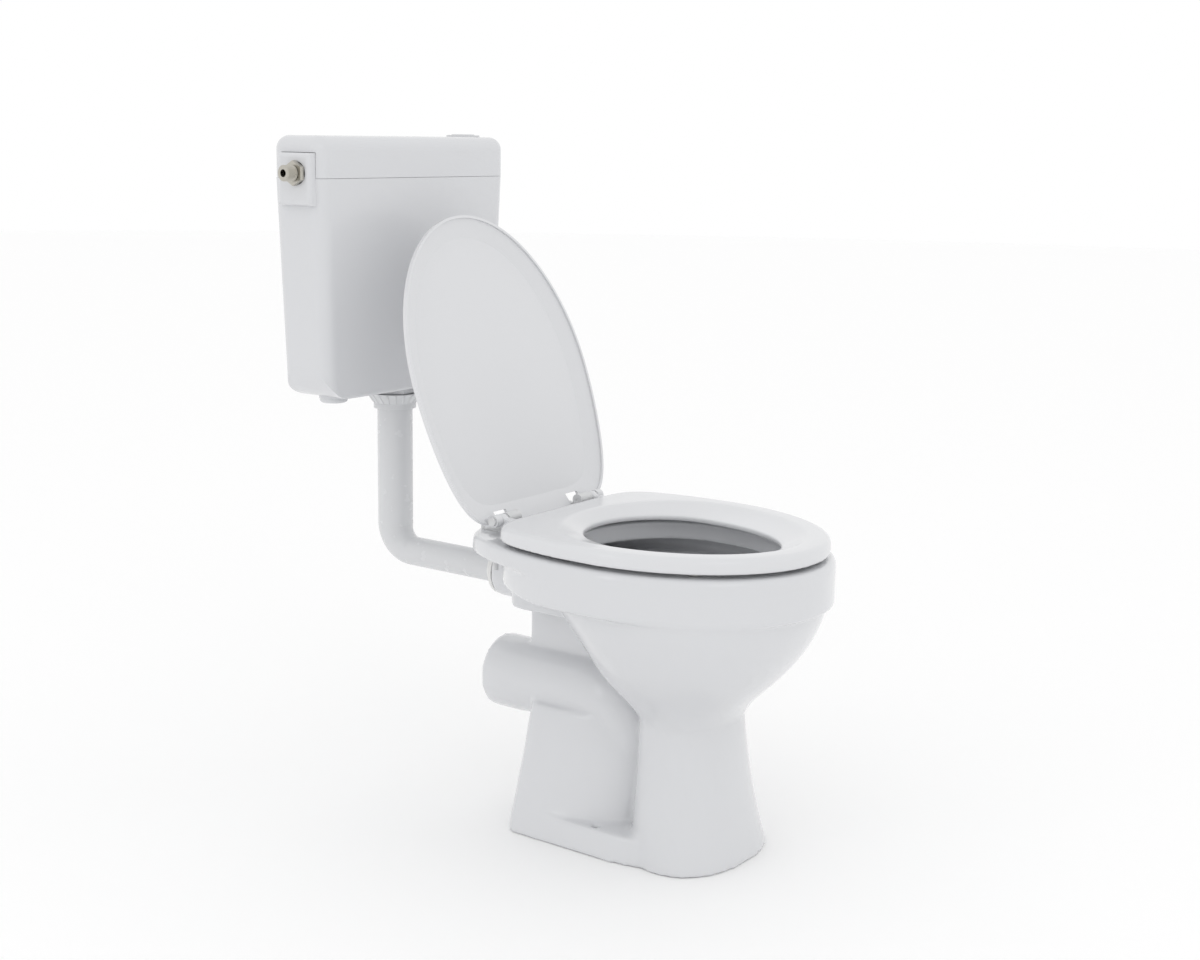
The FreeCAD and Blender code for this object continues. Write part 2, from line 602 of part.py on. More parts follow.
def tank_body():
    step_z = SEAM_Z - LIP_ROOT
    lip = COVER_WALL + COVER_GAP
    top = SEAM_Z + COVER_LAP
    outer = fuse(tank_block(0.0, TANK_Z, SEAM_Z), tank_form(lip, SEAM_Z - OVER, top))
    inner = tank_block(TANK_WALL, TANK_Z + TANK_WALL, step_z)
    throat = tank_form(lip + TANK_WALL, step_z - OVER, top + OVER)
    boss = box(BOSS_X, -TANK_HALF + 6, INLET_Y - BOSS_HALF, INLET_Y + BOSS_REAR,
               INLET_Z - BOSS_DOWN, INLET_Z + BOSS_UP)
    outer_edges = [e for e in boss.Edges if e.BoundBox.XMax < BOSS_X + OVER]
    boss = boss.makeFillet(BOSS_ROUND, outer_edges)
    entry = rod(20.0, (PLUG_X, PIPE_Y, TANK_Z - ENTRY_H), Z_AXIS, ENTRY_H + TANK_WALL)
    body = fuse(outer, boss, entry)
    shank_hole = rod(SHANK_R + 0.3, (BOSS_X - OVER, INLET_Y, INLET_Z), X_AXIS, BOSS_OUT + 10)
    t = TANK_WALL
    pocket = box(BOSS_X + t, -TANK_HALF + 8, INLET_Y - BOSS_HALF + t, INLET_Y + BOSS_REAR - t,
                 INLET_Z - BOSS_DOWN + BOSS_ROUND + t, INLET_Z + BOSS_UP - t)
    entry_hole = rod(10.8, (PLUG_X, PIPE_Y, TANK_Z - ENTRY_H - OVER), Z_AXIS, 40)
    far_hole = rod(SHANK_R + 0.3, (TANK_HALF - 12, INLET_Y, INLET_Z - PLUG_DROP), X_AXIS, 30)
    outlet = rod(TAIL_R + 0.3, (0, PIPE_Y, TANK_Z - OVER), Z_AXIS, 30)
    holes = [inner, throat, pocket, shank_hole, entry_hole, far_hole, outlet]
    holes += mirrored(rod(WALL_HOLE_R, (WALL_HOLE_X, WALL_Y - 10, WALL_HOLE_Z), Y_AXIS, 20))
    return cut(body, *holes)


def cover():
    t = COVER_WALL
    low = SEAM_Z + SEAM_GAP
    outer = Part.Face(slab_wire(low, TANK_HALF, TANK_FRONT_Y, WALL_Y, TANK_ROUND)).extrude(
        V(0, 0, COVER_TOP_Z - low))
    outer = outer.makeFillet(COVER_ROUND, edges_at(outer, COVER_TOP_Z))
    hollow = Part.Face(slab_wire(low - OVER, TANK_HALF - t, TANK_FRONT_Y + t, WALL_Y - t, TANK_ROUND - t)).extrude(
        V(0, 0, COVER_TOP_Z - t - low + OVER))
    hollow = hollow.makeFillet(COVER_ROUND - t, edges_at(hollow, COVER_TOP_Z - t))
    notch = box(BOSS_X, -TANK_HALF + 8, INLET_Y - BOSS_HALF - GAP, INLET_Y + BOSS_REAR + GAP,
                low - OVER, INLET_Z + BOSS_UP + GAP)
    hole = rod(BUTTON_R + 3, (BUTTON_X, PIPE_Y, COVER_TOP_Z - 10), Z_AXIS, 20)
    return cut(outer, hollow, notch, hole)


def button_bezel():
    z = COVER_TOP_Z
    flange = ring(BUTTON_R + 7, BUTTON_R + SLIDE, (BUTTON_X, PIPE_Y, z), Z_AXIS, 2.5)
    sleeve = ring(BUTTON_R + 3, BUTTON_R + SLIDE, (BUTTON_X, PIPE_Y, z - 22), Z_AXIS, 22)
    return fuse(flange, sleeve)


def button():
    z = COVER_TOP_Z + 4
    cap = rod(BUTTON_R, (BUTTON_X, PIPE_Y, z - 18), Z_AXIS, 18)
    cap = cap.makeFillet(2.0, edges_at(cap, z))
    hollow = rod(BUTTON_R - 2.5, (BUTTON_X, PIPE_Y, z - 18 - OVER), Z_AXIS, 15 + OVER)
    return cap.cut(hollow)


def button_rod():
    top = COVER_TOP_Z + 1
    low = LEVER_Z + LEVER_H / 2 + LIFT_GAP
    stem = rod(4.0, (BUTTON_X, PIPE_Y, low), Z_AXIS, top - low)
    foot = rod(7.0, (BUTTON_X, PIPE_Y, low), Z_AXIS, 3.0)
    return fuse(stem, foot)


# ---- Flush lever ------------------------------------------------------------------------------------
def flush_lever():
    prong_y = TUBE_R + 6
    z0 = LEVER_Z - LEVER_H / 2
    beam = box(TUBE_R + 18, BUTTON_X + 8, PIPE_Y - LEVER_T / 2, PIPE_Y + LEVER_T / 2, z0, z0 + LEVER_H)
    hub = rod(9.0, (LEVER_X, PIPE_Y - 10, LEVER_Z), Y_AXIS, 20.0)
    drop = box(TUBE_R + 18, TUBE_R + 26, PIPE_Y - prong_y, PIPE_Y + prong_y, PRONG_Z, z0 + LEVER_H)
    prongs = [box(-5, TUBE_R + 22, PIPE_Y + s * prong_y - 3, PIPE_Y + s * prong_y + 3, PRONG_Z, PRONG_Z + 6)
              for s in (-1, 1)]
    bore = rod(LEVER_PIN_R + RUN, (LEVER_X, PIPE_Y - 20, LEVER_Z), Y_AXIS, 40)
    return cut(fuse(beam, hub, drop, *prongs), bore)


COLLAR_Z = TUBE_TOP_Z - COLLAR_DROP
PRONG_Z = COLLAR_Z - PRONG_H - LIFT_GAP
BRACKET_Y = PIPE_Y + BRACKET_GAP


def lever_bracket():
    inner_y = WALL_Y - TANK_WALL
    block = box(LEVER_X - 12, LEVER_X + 12, BRACKET_Y, inner_y, LEVER_Z - 16, LEVER_Z + 7)
    return cut(block, rod(LEVER_PIN_R, (LEVER_X, BRACKET_Y - OVER, LEVER_Z), Y_AXIS, 30))


def lever_pin():
    stem = rod(LEVER_PIN_R, (LEVER_X, PIPE_Y - 10 - GAP, LEVER_Z), Y_AXIS, 29 + BRACKET_Y - PIPE_Y)
    head = rod(LEVER_PIN_R + 3, (LEVER_X, PIPE_Y - 13 - GAP, LEVER_Z), Y_AXIS, 3)
    return fuse(stem, head)


# ---- Flush valve --------------------------------------------------------------------------------------
FLOOR_Z = TANK_Z + TANK_WALL
VALVE_Z = FLOOR_Z + WASHER_H           # underside of the valve's flange
VALVE_SEAT_Z = VALVE_Z + 6


def valve_washer():
    return ring(TAIL_R + TAIL_FLANGE, TAIL_R + 0.3, (0, PIPE_Y, FLOOR_Z), Z_AXIS, WASHER_H)


def valve_body():
    flange = rod(TAIL_R + TAIL_FLANGE, (0, PIPE_Y, VALVE_Z), Z_AXIS, 6)
    tail_z = PIPE_TOP_Z + WASHER_H
    tail = rod(TAIL_R, (0, PIPE_Y, tail_z), Z_AXIS, VALVE_Z - tail_z)
    cage = ring(CAGE_R, CAGE_R - 2.5, (0, PIPE_Y, VALVE_SEAT_Z), Z_AXIS, CAGE_H)
    roof = rod(CAGE_R, (0, PIPE_Y, VALVE_SEAT_Z + CAGE_H), Z_AXIS, 3)
    body = fuse(flange, tail, cage, roof)
    way = rod(TAIL_R - TAIL_WALL, (0, PIPE_Y, tail_z - OVER), Z_AXIS, VALVE_SEAT_Z - tail_z + 2 * OVER)
    guide = rod(TUBE_R + SLIDE, (0, PIPE_Y, VALVE_SEAT_Z + CAGE_H - OVER), Z_AXIS, 3 + 2 * OVER)
    low = VALVE_SEAT_Z + 8
    windows = [box(-60, 60, PIPE_Y - 9, PIPE_Y + 9, low, low + CAGE_H - 28)]
    windows += [box(-9, 9, PIPE_Y - 60, PIPE_Y + 60, low, low + CAGE_H - 28)]
    return cut(body, way, guide, *windows)


def valve_back_nut():
    z = TANK_Z - 7
    return hexagon(TAIL_R + 9, (0, PIPE_Y, z), Z_AXIS, 7).cut(rod(TAIL_R, (0, PIPE_Y, z - OVER), Z_AXIS, 9))


def overflow_tube():
    z = VALVE_SEAT_Z + 4
    tube = ring(TUBE_R, TUBE_R - 2, (0, PIPE_Y, z), Z_AXIS, TUBE_TOP_Z - z)
    disc = ring(TUBE_R + 13, TUBE_R - 2, (0, PIPE_Y, z), Z_AXIS, 5)
    collar = ring(TUBE_R + 9, TUBE_R - 2, (0, PIPE_Y, COLLAR_Z), Z_AXIS, 4)
    return fuse(tube, disc, collar)


def valve_seal():
    return ring(SEAL_R - 0.5, TUBE_R - 2, (0, PIPE_Y, VALVE_SEAT_Z + 0.3), Z_AXIS, 3.7)


# ---- Flush pipe and its joints ---------------------------------------------------------------------------
def pipe_form(shrink):
    """Upright leg, narrowing elbow and level leg, drawn in by shrink."""
    low = HORN_Z + ELBOW_R
    leg = rod(PIPE_R - shrink, (0, PIPE_Y, low), Z_AXIS, PIPE_TOP_Z - low)
    centre_y = PIPE_Y - ELBOW_R
    rings = []
    steps = 6
    for k in range(steps + 1):
        a = math.radians(90 * k / steps)
        r = PIPE_R + (LEG_R - PIPE_R) * k / steps - shrink
        place = V(0, centre_y + ELBOW_R * math.cos(a), low - ELBOW_R * math.sin(a))
        heading = V(0, -math.sin(a), -math.cos(a))
        rings.append(Part.Wire(Part.makeCircle(r, place, heading)))
    elbow = loft(rings)
    end_y = HORN_END_Y - HORN_DEPTH + 6
    level = rod(LEG_R - shrink, (0, end_y, HORN_Z), Y_AXIS, centre_y - end_y)
    return fuse(leg, elbow, level)


def flush_pipe():
    collar = rod(TAIL_R, (0, PIPE_Y, PIPE_TOP_Z - 3), Z_AXIS, 3)
    end_y = HORN_END_Y - HORN_DEPTH + 6
    reach = PIPE_WALL
    tools = [pipe_form(PIPE_WALL)]
    tools.append(rod(PIPE_R - reach, (0, PIPE_Y, PIPE_TOP_Z - 20), Z_AXIS, 20 + OVER))
    tools.append(rod(LEG_R - reach, (0, end_y - OVER, HORN_Z), Y_AXIS, 20))
    return cut(fuse(pipe_form(0.0), collar), *tools)


def pipe_washer():
    return ring(TAIL_R, PIPE_R - PIPE_WALL, (0, PIPE_Y, PIPE_TOP_Z), Z_AXIS, WASHER_H)


def coupling_nut():
    top = TANK_Z - 7 - 1
    low = top - NUT_H
    skirt = cone(NUT_LOW_R, NUT_TOP_R, (0, PIPE_Y, low + 8), Z_AXIS, NUT_H - 8)
    base = rod(NUT_LOW_R, (0, PIPE_Y, low), Z_AXIS, 8)
    thread = rod(TAIL_R, (0, PIPE_Y, PIPE_TOP_Z - 3), Z_AXIS, top - PIPE_TOP_Z + 3 + OVER)
    way = rod(PIPE_R + 0.3, (0, PIPE_Y, low - OVER), Z_AXIS, NUT_H)
    return cut(fuse(skirt, base), thread, way)


def flush_cone():
    seat_r = LEG_R + CONE_WALL
    plug = rod(seat_r, (0, HORN_END_Y - HORN_DEPTH, HORN_Z), Y_AXIS, HORN_DEPTH)
    lip = rod(HORN_R - 2, (0, HORN_END_Y, HORN_Z), Y_AXIS, 7)
    lip = lip.makeFillet(3.0, [e for e in lip.Edges if e.BoundBox.YMin > HORN_END_Y + 6])
    neck = cone(LEG_R + 6, LEG_R + 3, (0, HORN_END_Y + 7, HORN_Z), Y_AXIS, 8)
    way = rod(LEG_R, (0, HORN_END_Y - HORN_DEPTH + 6, HORN_Z), Y_AXIS, HORN_DEPTH + 20)
    feed = rod(LEG_R - PIPE_WALL, (0, HORN_END_Y - HORN_DEPTH - OVER, HORN_Z), Y_AXIS, 20)
    return cut(fuse(plug, lip, neck), way, feed)


# ---- Inlet valve and float -----------------------------------------------------------------------------
VALVE_X0 = BOSS_X + TANK_WALL + 3      # inner face of the inlet's washer
VALVE_X1 = VALVE_X0 + 30
SPOUT_X = VALVE_X0 + 18
ARM_X = VALVE_X1 + 8


def inlet_shank():
    """The threaded metal shank through the boss, with the way for the water."""
    start = BOSS_X - SHANK_OUT
    neck_x = BOSS_X - SEAL_LEN - NUT_LEN
    thread = ring(SHANK_R, WATER_R, (start, INLET_Y, INLET_Z), X_AXIS, neck_x - start)
    neck = ring(SHANK_R - SHANK_NECK, WATER_R, (neck_x - OVER, INLET_Y, INLET_Z), X_AXIS, VALVE_X0 - neck_x + OVER)
    return fuse(thread, neck)


def inlet_valve():
    chamber = rod(CHAMBER_R, (VALVE_X0, INLET_Y, INLET_Z), X_AXIS, VALVE_X1 - VALVE_X0)
    spout = rod(SPOUT_R, (SPOUT_X, INLET_Y, INLET_Z - SPOUT_DROP), Z_AXIS, SPOUT_DROP - CHAMBER_R / 2)
    ears = [box(VALVE_X1 - 4, ARM_X + 6, INLET_Y + s * 9 - 2, INLET_Y + s * 9 + 2, INLET_Z - 12, INLET_Z + 6)
            for s in (-1, 1)]
    way = rod(WATER_R, (VALVE_X0 - OVER, INLET_Y, INLET_Z), X_AXIS, VALVE_X1 - VALVE_X0 - 12)
    piston = rod(PLUNGER_R + RUN, (VALVE_X1 - 14, INLET_Y, INLET_Z), X_AXIS, 20)
    drain = rod(SPOUT_R - 2, (SPOUT_X, INLET_Y, INLET_Z - SPOUT_DROP - OVER), Z_AXIS, SPOUT_DROP)
    pivot = rod(FLOAT_PIN_R, (ARM_X, INLET_Y - 14, INLET_Z - ARM_DROP), Y_AXIS, 28)
    return cut(fuse(chamber, spout, *ears), way, piston, drain, pivot)


def inlet_plunger():
    return rod(PLUNGER_R, (VALVE_X1 - 10, INLET_Y, INLET_Z), X_AXIS, 11)


def inlet_nut():
    start = BOSS_X - SEAL_LEN - NUT_LEN
    return hexagon(16.5, (start, INLET_Y, INLET_Z), X_AXIS, NUT_LEN).cut(
        rod(SHANK_R, (start - OVER, INLET_Y, INLET_Z), X_AXIS, NUT_LEN + 2 * OVER))


def inlet_washers():
    outer = ring(15.0, SHANK_R, (BOSS_X - SEAL_LEN, INLET_Y, INLET_Z), X_AXIS, SEAL_LEN)
    inner = ring(15.0, SHANK_R, (VALVE_X0 - 3, INLET_Y, INLET_Z), X_AXIS, 3.0)
    return Part.makeCompound([outer, inner])


def arm_pin():
    return rod(FLOAT_PIN_R, (ARM_X, INLET_Y - 13, INLET_Z - ARM_DROP), Y_AXIS, 26)


def float_arm():
    hub = rod(5.0, (ARM_X, INLET_Y - 6, INLET_Z - ARM_DROP), Y_AXIS, 12)
    heel = box(VALVE_X1 + 2, ARM_X, INLET_Y - 4, INLET_Y + 4, INLET_Z - 6, INLET_Z + 5)
    bar = box(ARM_X, ARM_X + FLOAT_ARM, INLET_Y - 4, INLET_Y + 4, INLET_Z - 12, INLET_Z - 6)
    stem = rod(3.0, (ARM_X + FLOAT_ARM - 6, INLET_Y, INLET_Z - 40), Z_AXIS, 30)
    return cut(fuse(hub, heel, bar, stem), rod(FLOAT_PIN_R + RUN, (ARM_X, INLET_Y - 20, INLET_Z - ARM_DROP), Y_AXIS, 40))


def float_cup():
    top = INLET_Z - 24
    cup = rod(FLOAT_R, (ARM_X + FLOAT_ARM - 6, INLET_Y, top - 50), Z_AXIS, 50)
    cup = cup.makeFillet(5.0, cup.Edges[0:1] + edges_at(cup, top - 50))
    return cut(cup, rod(3.0, (ARM_X + FLOAT_ARM - 6, INLET_Y, top - 16), Z_AXIS, 20))


# ---- Plugs --------------------------------------------------------------------------------
def bottom_plug():
    z = TANK_Z - ENTRY_H
    cap = rod(19.0, (PLUG_X, PIPE_Y, z - PLUG_H), Z_AXIS, PLUG_H)
    cap = cap.makeFillet(4.0, edges_at(cap, z - PLUG_H))
    return fuse(cap, rod(10.7, (PLUG_X, PIPE_Y, z), Z_AXIS, 20))


def side_plug():
    stem = rod(SHANK_R, (TANK_HALF - 14, INLET_Y, INLET_Z - PLUG_DROP), X_AXIS, 12)
    return fuse(stem, rod(15.0, (TANK_HALF - 10, INLET_Y, INLET_Z - PLUG_DROP), X_AXIS, 4.0))


NODES = {
    "pan": pan,
    "hinge_bolts": hinge_bolts,
    "hinge_washers": hinge_washers,
    "wing_nuts": wing_nuts,
    "hinge_pins": hinge_pins,
    "seat": seat,
    "seat_buffers": seat_buffers,
    "lid": lid,
    "cistern_body": tank_body,
    "cistern_cover": cover,
    "button_bezel": button_bezel,
    "push_button": button,
    "button_rod": button_rod,
    "flush_lever": flush_lever,
    "lever_bracket": lever_bracket,
    "lever_pin": lever_pin,
    "flush_valve_washer": valve_washer,
    "flush_valve_body": valve_body,
    "flush_valve_back_nut": valve_back_nut,
    "overflow_tube": overflow_tube,
    "flush_valve_seal": valve_seal,
    "flush_pipe": flush_pipe,
    "pipe_washer": pipe_washer,
    "coupling_nut": coupling_nut,
    "flush_cone": flush_cone,
    "inlet_shank": inlet_shank,
    "inlet_valve": inlet_valve,
    "inlet_plunger": inlet_plunger,
    "inlet_nut": inlet_nut,
    "inlet_washers": inlet_washers,
    "float_arm_pin": arm_pin,
    "float_arm": float_arm,
    "float_cup": float_cup,
    "bottom_plug": bottom_plug,
    "side_plug": side_plug,
}


def main():
    os.makedirs("parts", exist_ok=True)
    shapes = {name: make() for name, make in NODES.items()}
    left, right = mirrored(hinge_blocks())
    shapes["hinge_blocks"] = Part.makeCompound([left, right])
    for name, shape in shapes.items():
        solids = len(shape.Solids)
        print(name, "solids", solids, "valid", shape.isValid(), "cm3", round(shape.Volume / 1000, 1))
        shape.exportStep("parts/" + name + ".step")


main()
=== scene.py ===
"""Looks for the low-level toilet: glazed pan, plastic seat, lid and cistern, flush bend."""
import json
import math

import bmesh
import bpy
from mathutils import Matrix, Vector


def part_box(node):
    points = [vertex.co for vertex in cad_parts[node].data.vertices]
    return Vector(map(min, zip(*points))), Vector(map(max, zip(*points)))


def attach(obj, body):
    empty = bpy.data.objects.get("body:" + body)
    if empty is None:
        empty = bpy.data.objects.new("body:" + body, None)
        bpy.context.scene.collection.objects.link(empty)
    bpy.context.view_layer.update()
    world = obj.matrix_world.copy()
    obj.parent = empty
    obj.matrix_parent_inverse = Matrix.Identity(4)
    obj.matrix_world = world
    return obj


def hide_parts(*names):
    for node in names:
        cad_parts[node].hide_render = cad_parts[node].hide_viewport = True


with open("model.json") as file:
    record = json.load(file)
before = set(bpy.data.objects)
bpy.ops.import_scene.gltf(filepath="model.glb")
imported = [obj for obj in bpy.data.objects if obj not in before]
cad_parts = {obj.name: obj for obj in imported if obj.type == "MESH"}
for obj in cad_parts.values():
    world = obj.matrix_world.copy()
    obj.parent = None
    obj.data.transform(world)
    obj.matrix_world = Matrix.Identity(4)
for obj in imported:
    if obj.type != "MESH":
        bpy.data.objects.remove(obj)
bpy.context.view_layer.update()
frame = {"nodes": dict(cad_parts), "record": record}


CAMERA_PLACE = (-1.827, -1.260, 0.915)   # metres
CAMERA_TURN = math.radians(54.0)
CAMERA_DIP = math.radians(11.2)
CAMERA_ROLL = math.radians(0.92)
CAMERA_LENS = 52.7                       # on a sensor 36 mm wide
PAN_VOXEL = 0.003
SEAT_VOXEL = 0.002
THREAD_PITCH = 0.0018
THREAD_DEPTH = 0.0009
SHANK_BORE_R = 0.005
RIB_COUNT = 20
RIB_LOW_R = 0.030                        # the nut's radius under its cone
RIB_LOW_H = 0.008                        # height of the straight part under the cone


# ---- Camera, light and floor ----------------------------------------------------------------
def add_camera():
    place = Vector(CAMERA_PLACE)
    turn, dip, roll = CAMERA_TURN, CAMERA_DIP, CAMERA_ROLL
    right = Vector((math.cos(turn), -math.sin(turn), 0.0))
    ahead = Vector((math.sin(turn) * math.cos(dip), math.cos(turn) * math.cos(dip), -math.sin(dip)))
    up = right.cross(ahead)
    right, up = right * math.cos(roll) + up * math.sin(roll), up * math.cos(roll) - right * math.sin(roll)
    data = bpy.data.cameras.new("camera")
    data.lens = CAMERA_LENS
    data.sensor_width = 36.0
    camera = bpy.data.objects.new("camera", data)
    axes = Matrix((right, up, -ahead)).transposed().to_4x4()
    camera.matrix_world = Matrix.Translation(place) @ axes
    bpy.context.scene.collection.objects.link(camera)
    bpy.context.scene.camera = camera


def add_light(name, place, target, size, power):
    data = bpy.data.lights.new(name, "AREA")
    data.shape = "RECTANGLE"
    data.size, data.size_y = size
    data.energy = power
    lamp = bpy.data.objects.new(name, data)
    lamp.location = place
    lamp.rotation_euler = (Vector(target) - Vector(place)).to_track_quat("-Z", "Y").to_euler()
    bpy.context.scene.collection.objects.link(lamp)


def add_bowl_light():
    """A narrow lamp overhead that reaches only through the seat's opening."""
    low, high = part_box("seat")
    data = bpy.data.lights.new("bowl_light", "SPOT")
    data.energy = 22.0
    data.spot_size = math.radians(7.0)
    data.spot_blend = 0.5
    data.shadow_soft_size = 0.05
    lamp = bpy.data.objects.new("bowl_light", data)
    lamp.location = ((low.x + high.x) / 2, low.y + 0.4 * (high.y - low.y), high.z + 1.9)
    bpy.context.scene.collection.objects.link(lamp)


def new_object(name, bm, smooth=True):
    mesh = bpy.data.meshes.new(name)
    bm.normal_update()
    bm.to_mesh(mesh)
    bm.free()
    for face in mesh.polygons:
        face.use_smooth = smooth
    piece = bpy.data.objects.new(name, mesh)
    bpy.context.scene.collection.objects.link(piece)
    return piece


def add_floor():
    bm = bmesh.new()
    steps = 48
    rings = []
    for radius in (0.5, 2.0, 6.0, 14.0):
        rings.append([bm.verts.new((radius * math.cos(math.tau * k / steps),
                                    radius * math.sin(math.tau * k / steps), 0.0)) for k in range(steps)])
    bm.faces.new(rings[0])
    for inner, outer in zip(rings, rings[1:]):
        for k in range(steps):
            j = (k + 1) % steps
            bm.faces.new((inner[k], outer[k], outer[j], inner[j]))
    floor = new_object("studio_floor", bm)
    floor.location.z = -0.0005
    floor.data.materials.append(plain_material("floor_paint", (0.985, 0.985, 0.985), 0.8))


def add_studio():
    world = bpy.data.worlds.new("studio")
    world.use_nodes = True
    back = world.node_tree.nodes["Background"]
    back.inputs["Color"].default_value = (1.0, 1.0, 1.0, 1.0)
    back.inputs["Strength"].default_value = 1.0
    bpy.context.scene.world = world
    bpy.context.scene.view_settings.view_transform = "Standard"
    add_light("key", (-1.6, -2.2, 2.6), (0, 0.1, 0.4), (1.4, 1.4), 3.5)
    add_light("window", (-2.6, 0.9, 1.7), (0, 0.1, 0.4), (0.5, 1.2), 1.5)


# ---- Materials --------------------------------------------------------------------------------
def plain_material(name, tone, rough):
    material = bpy.data.materials.new(name)
    material.use_nodes = True
    shader = material.node_tree.nodes["Principled BSDF"]
    shader.inputs["Base Color"].default_value = (*tone, 1.0)
    shader.inputs["Roughness"].default_value = rough
    return material


def finished(name, tone, rough, spread=0.02, tint=0.02, mottle=9.0, wave=0.0, wave_scale=30.0,
             grain=0.0, grain_scale=900.0, coat=0.0, metal=0.0, ior=1.5):
    """A surface with uneven colour and gloss, a slow waviness and a fine grain."""
    material = plain_material(name, tone, rough)
    tree = material.node_tree
    shader = tree.nodes["Principled BSDF"]
    shader.inputs["Metallic"].default_value = metal
    shader.inputs["IOR"].default_value = ior
    shader.inputs["Coat Weight"].default_value = coat
    shader.inputs["Coat Roughness"].default_value = 0.03
    place = tree.nodes.new("ShaderNodeTexCoord").outputs["Object"]

    def noise(scale, detail):
        node = tree.nodes.new("ShaderNodeTexNoise")
        node.inputs["Scale"].default_value = scale
        node.inputs["Detail"].default_value = detail
        tree.links.new(place, node.inputs["Vector"])
        return node.outputs["Fac"]

    def ramp(value, low, high):
        node = tree.nodes.new("ShaderNodeMapRange")
        node.inputs["To Min"].default_value = low
        node.inputs["To Max"].default_value = high
        tree.links.new(value, node.inputs["Value"])
        return node.outputs["Result"]

    patches = noise(mottle, 3.0)
    mix = tree.nodes.new("ShaderNodeMix")
    mix.data_type = "RGBA"
    mix.inputs["A"].default_value = (*[c * (1 - tint) for c in tone], 1.0)
    mix.inputs["B"].default_value = (*[min(1.0, c * (1 + tint)) for c in tone], 1.0)
    tree.links.new(patches, mix.inputs["Factor"])
    tree.links.new(mix.outputs["Result"], shader.inputs["Base Color"])
    tree.links.new(ramp(noise(mottle * 5, 4.0), rough - spread, rough + spread), shader.inputs["Roughness"])
    normal = None
    for height, scale, detail in ((wave, wave_scale, 1.0), (grain, grain_scale, 2.0)):
        if height:
            bump = tree.nodes.new("ShaderNodeBump")
            bump.inputs["Strength"].default_value = 0.6
            bump.inputs["Distance"].default_value = height
            tree.links.new(noise(scale, detail), bump.inputs["Height"])
            if normal:
                tree.links.new(normal, bump.inputs["Normal"])
            normal = bump.outputs["Normal"]
    if normal:
        tree.links.new(normal, shader.inputs["Normal"])
    return material


def make_materials():
    white = (0.665, 0.672, 0.69)
    return {
        "glaze": finished("glaze", white, 0.10, 0.03, 0.010, 5.0, 0.0005, 22.0, 0.000004, 700.0, 0.5),
        "seat_plastic": finished("seat_plastic", (0.70, 0.706, 0.722), 0.2, 0.04, 0.008, 7.0,
                                 0.0002, 30.0, 0.000006, 1500.0, 0.2),
        "cistern_plastic": finished("cistern_plastic", white, 0.24, 0.04, 0.010, 6.0, 0.0003, 14.0,
                                    0.000006, 1200.0, 0.15),
        "hinge_plastic": finished("hinge_plastic", (0.66, 0.665, 0.67), 0.38, 0.05, 0.02, 40.0, 0, 30,
                                  0.00001, 1800.0),
        "buffer_rubber": finished("buffer_rubber", (0.46, 0.46, 0.45), 0.6, 0.08, 0.04, 60.0, 0, 30,
                                  0.00003, 1500.0),
        "button_plastic": finished("button_plastic", (0.70, 0.706, 0.72), 0.2, 0.04, 0.01, 30.0, 0, 30,
                                   0.000006, 1800.0, 0.2),
        "inner_plastic": finished("inner_plastic", (0.74, 0.76, 0.79), 0.4, 0.05, 0.03, 30.0, 0, 30,
                                  0.00001, 1200.0),
        "nut_plastic": finished("nut_plastic", (0.66, 0.667, 0.68), 0.34, 0.05, 0.02, 30.0, 0, 30,
                                0.00001, 1500.0),
        "pipe_plastic": finished("pipe_plastic", (0.655, 0.662, 0.675), 0.26, 0.05, 0.012, 14.0,
                                 0.0002, 20.0, 0.000006, 1200.0, 0.1),
        "cone_rubber": finished("cone_rubber", (0.76, 0.76, 0.75), 0.5, 0.06, 0.03, 30.0, 0, 30,
                                0.00002, 1500.0),
        "seal_rubber": finished("seal_rubber", (0.04, 0.04, 0.04), 0.6, 0.08, 0.1, 50.0, 0, 30,
                                0.00004, 1500.0),
        "inlet_metal": finished("inlet_metal", (0.52, 0.50, 0.45), 0.3, 0.08, 0.08, 60.0, 0, 30,
                                0.00002, 1500.0, 0.0, 1.0),
    }


def dress(materials):
    """Gives every CAD node the material of its slot."""
    for part in frame["record"]["subparts"]:
        node = frame["nodes"].get(part["node"])
        if node is None:
            continue
        node.data.materials.clear()
        node.data.materials.append(materials[part["material_slot"]])


# ---- Pieces -------------------------------------------------------------------------------------
def softened(node_name, name, material, voxel, passes, body):
    """A finer copy of a CAD node with its seams and edges run smoothly together."""
    source = frame["nodes"][node_name]
    piece = bpy.data.objects.new(name, source.data.copy())
    bpy.context.scene.collection.objects.link(piece)
    remesh = piece.modifiers.new("remesh", "REMESH")
    remesh.mode = "VOXEL"
    remesh.voxel_size = voxel
    remesh.adaptivity = 0.0
    settle = piece.modifiers.new("settle", "SMOOTH")
    settle.factor = 0.5
    settle.iterations = passes
    bake(piece)
    piece.data.materials.clear()
    piece.data.materials.append(material)
    for face in piece.data.polygons:
        face.use_smooth = True
    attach(piece, body)
    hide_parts(node_name)
    return piece


def lathe(profile, origin, steps):
    """A closed ring turned about the X axis through origin from (along, radius) points."""
    bm = bmesh.new()
    loops = []
    for along, radius in profile:
        loops.append([bm.verts.new((origin.x + along,
                                    origin.y + radius * math.cos(math.tau * k / steps),
                                    origin.z + radius * math.sin(math.tau * k / steps)))
                      for k in range(steps)])
    for here, after in zip(loops, loops[1:] + loops[:1]):
        for k in range(steps):
            j = (k + 1) % steps
            bm.faces.new((here[k], here[j], after[j], after[k]))
    bmesh.ops.recalc_face_normals(bm, faces=bm.faces)
    return bm


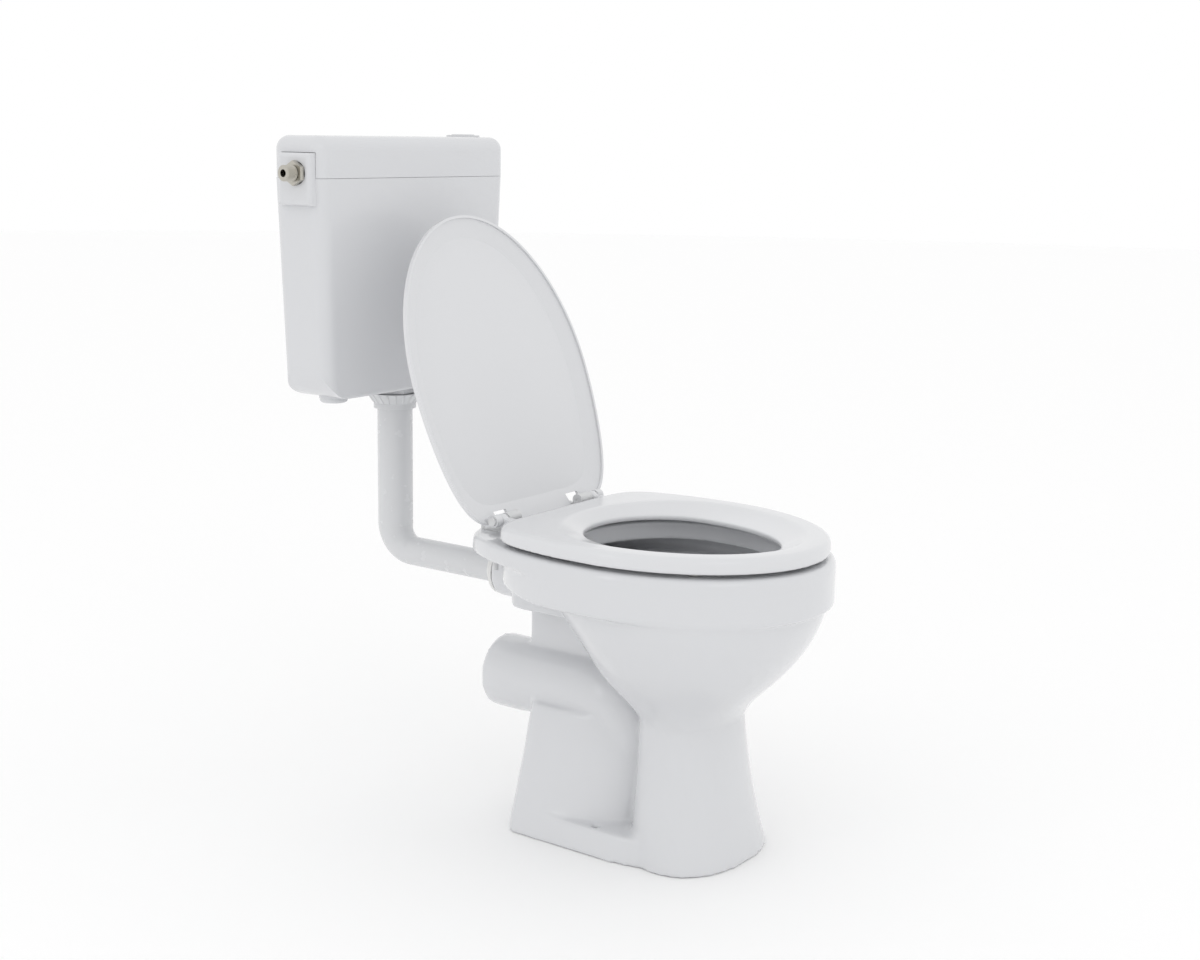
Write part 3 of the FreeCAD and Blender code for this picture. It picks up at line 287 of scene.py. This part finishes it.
def add_threaded_shank(material):
    """The inlet's shank with its thread cut as rings over the free end."""
    low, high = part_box("inlet_shank")
    nut_low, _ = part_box("inlet_nut")
    crest = (high.z - low.z) / 2
    root, bore, pitch = crest - THREAD_DEPTH, SHANK_BORE_R, THREAD_PITCH
    centre = Vector((low.x, (low.y + high.y) / 2, (low.z + high.z) / 2))
    free = nut_low.x - low.x
    profile = [(0.0, bore), (0.0, root)]
    turns = int(free / pitch)
    for k in range(turns):
        start = k * pitch
        profile += [(start + 0.2 * pitch, root), (start + 0.5 * pitch, crest), (start + 0.7 * pitch, crest)]
    profile += [(turns * pitch, root), (high.x - low.x, root), (high.x - low.x, bore)]
    piece = new_object("shank_thread", lathe(profile, centre, 64), smooth=False)
    piece.data.materials.append(material)
    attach(piece, "frame")
    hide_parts("inlet_shank")


def add_nut_ribs(material):
    """Grip ribs round the coupling nut's cone, within its widest radius."""
    low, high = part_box("coupling_nut")
    centre = Vector(((low.x + high.x) / 2, (low.y + high.y) / 2, 0))
    wide = (high.x - low.x) / 2
    narrow, straight, count = RIB_LOW_R, RIB_LOW_H, RIB_COUNT
    bm = bmesh.new()
    for k in range(count):
        angle = math.tau * (k + 0.5) / count
        out = Vector((math.cos(angle), math.sin(angle), 0))
        side = Vector((-out.y, out.x, 0))
        corners = []
        for z, radius in ((low.z + straight, narrow), (high.z - 0.001, wide - 0.0006)):
            for reach, half in ((radius - 0.002, 0.0022), (min(radius + 0.0013, wide), 0.0012)):
                corners += [centre + out * reach + side * half * s + Vector((0, 0, z)) for s in (-1, 1)]
        verts = [bm.verts.new(c) for c in corners]
        for face in ((0, 1, 3, 2), (4, 6, 7, 5), (0, 4, 5, 1), (2, 3, 7, 6), (0, 2, 6, 4), (1, 5, 7, 3)):
            bm.faces.new([verts[n] for n in face])
    bmesh.ops.recalc_face_normals(bm, faces=bm.faces)
    bmesh.ops.bevel(bm, geom=bm.edges[:], offset=0.0003, segments=1, affect="EDGES")
    piece = new_object("nut_ribs", bm)
    piece.data.materials.append(material)
    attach(piece, "frame")


def bake(piece):
    """Applies the piece's modifiers to its mesh."""
    bpy.context.view_layer.update()
    graph = bpy.context.evaluated_depsgraph_get()
    mesh = bpy.data.meshes.new_from_object(piece.evaluated_get(graph))
    piece.modifiers.clear()
    piece.data = mesh


add_camera()
add_studio()
add_bowl_light()
add_floor()
materials = make_materials()
dress(materials)
softened("pan", "pan_glazed", materials["glaze"], PAN_VOXEL, 14, "frame")
softened("seat", "seat_ring", materials["seat_plastic"], SEAT_VOXEL, 10, "seat")
add_threaded_shank(materials["inlet_metal"])
add_nut_ribs(materials["nut_plastic"])
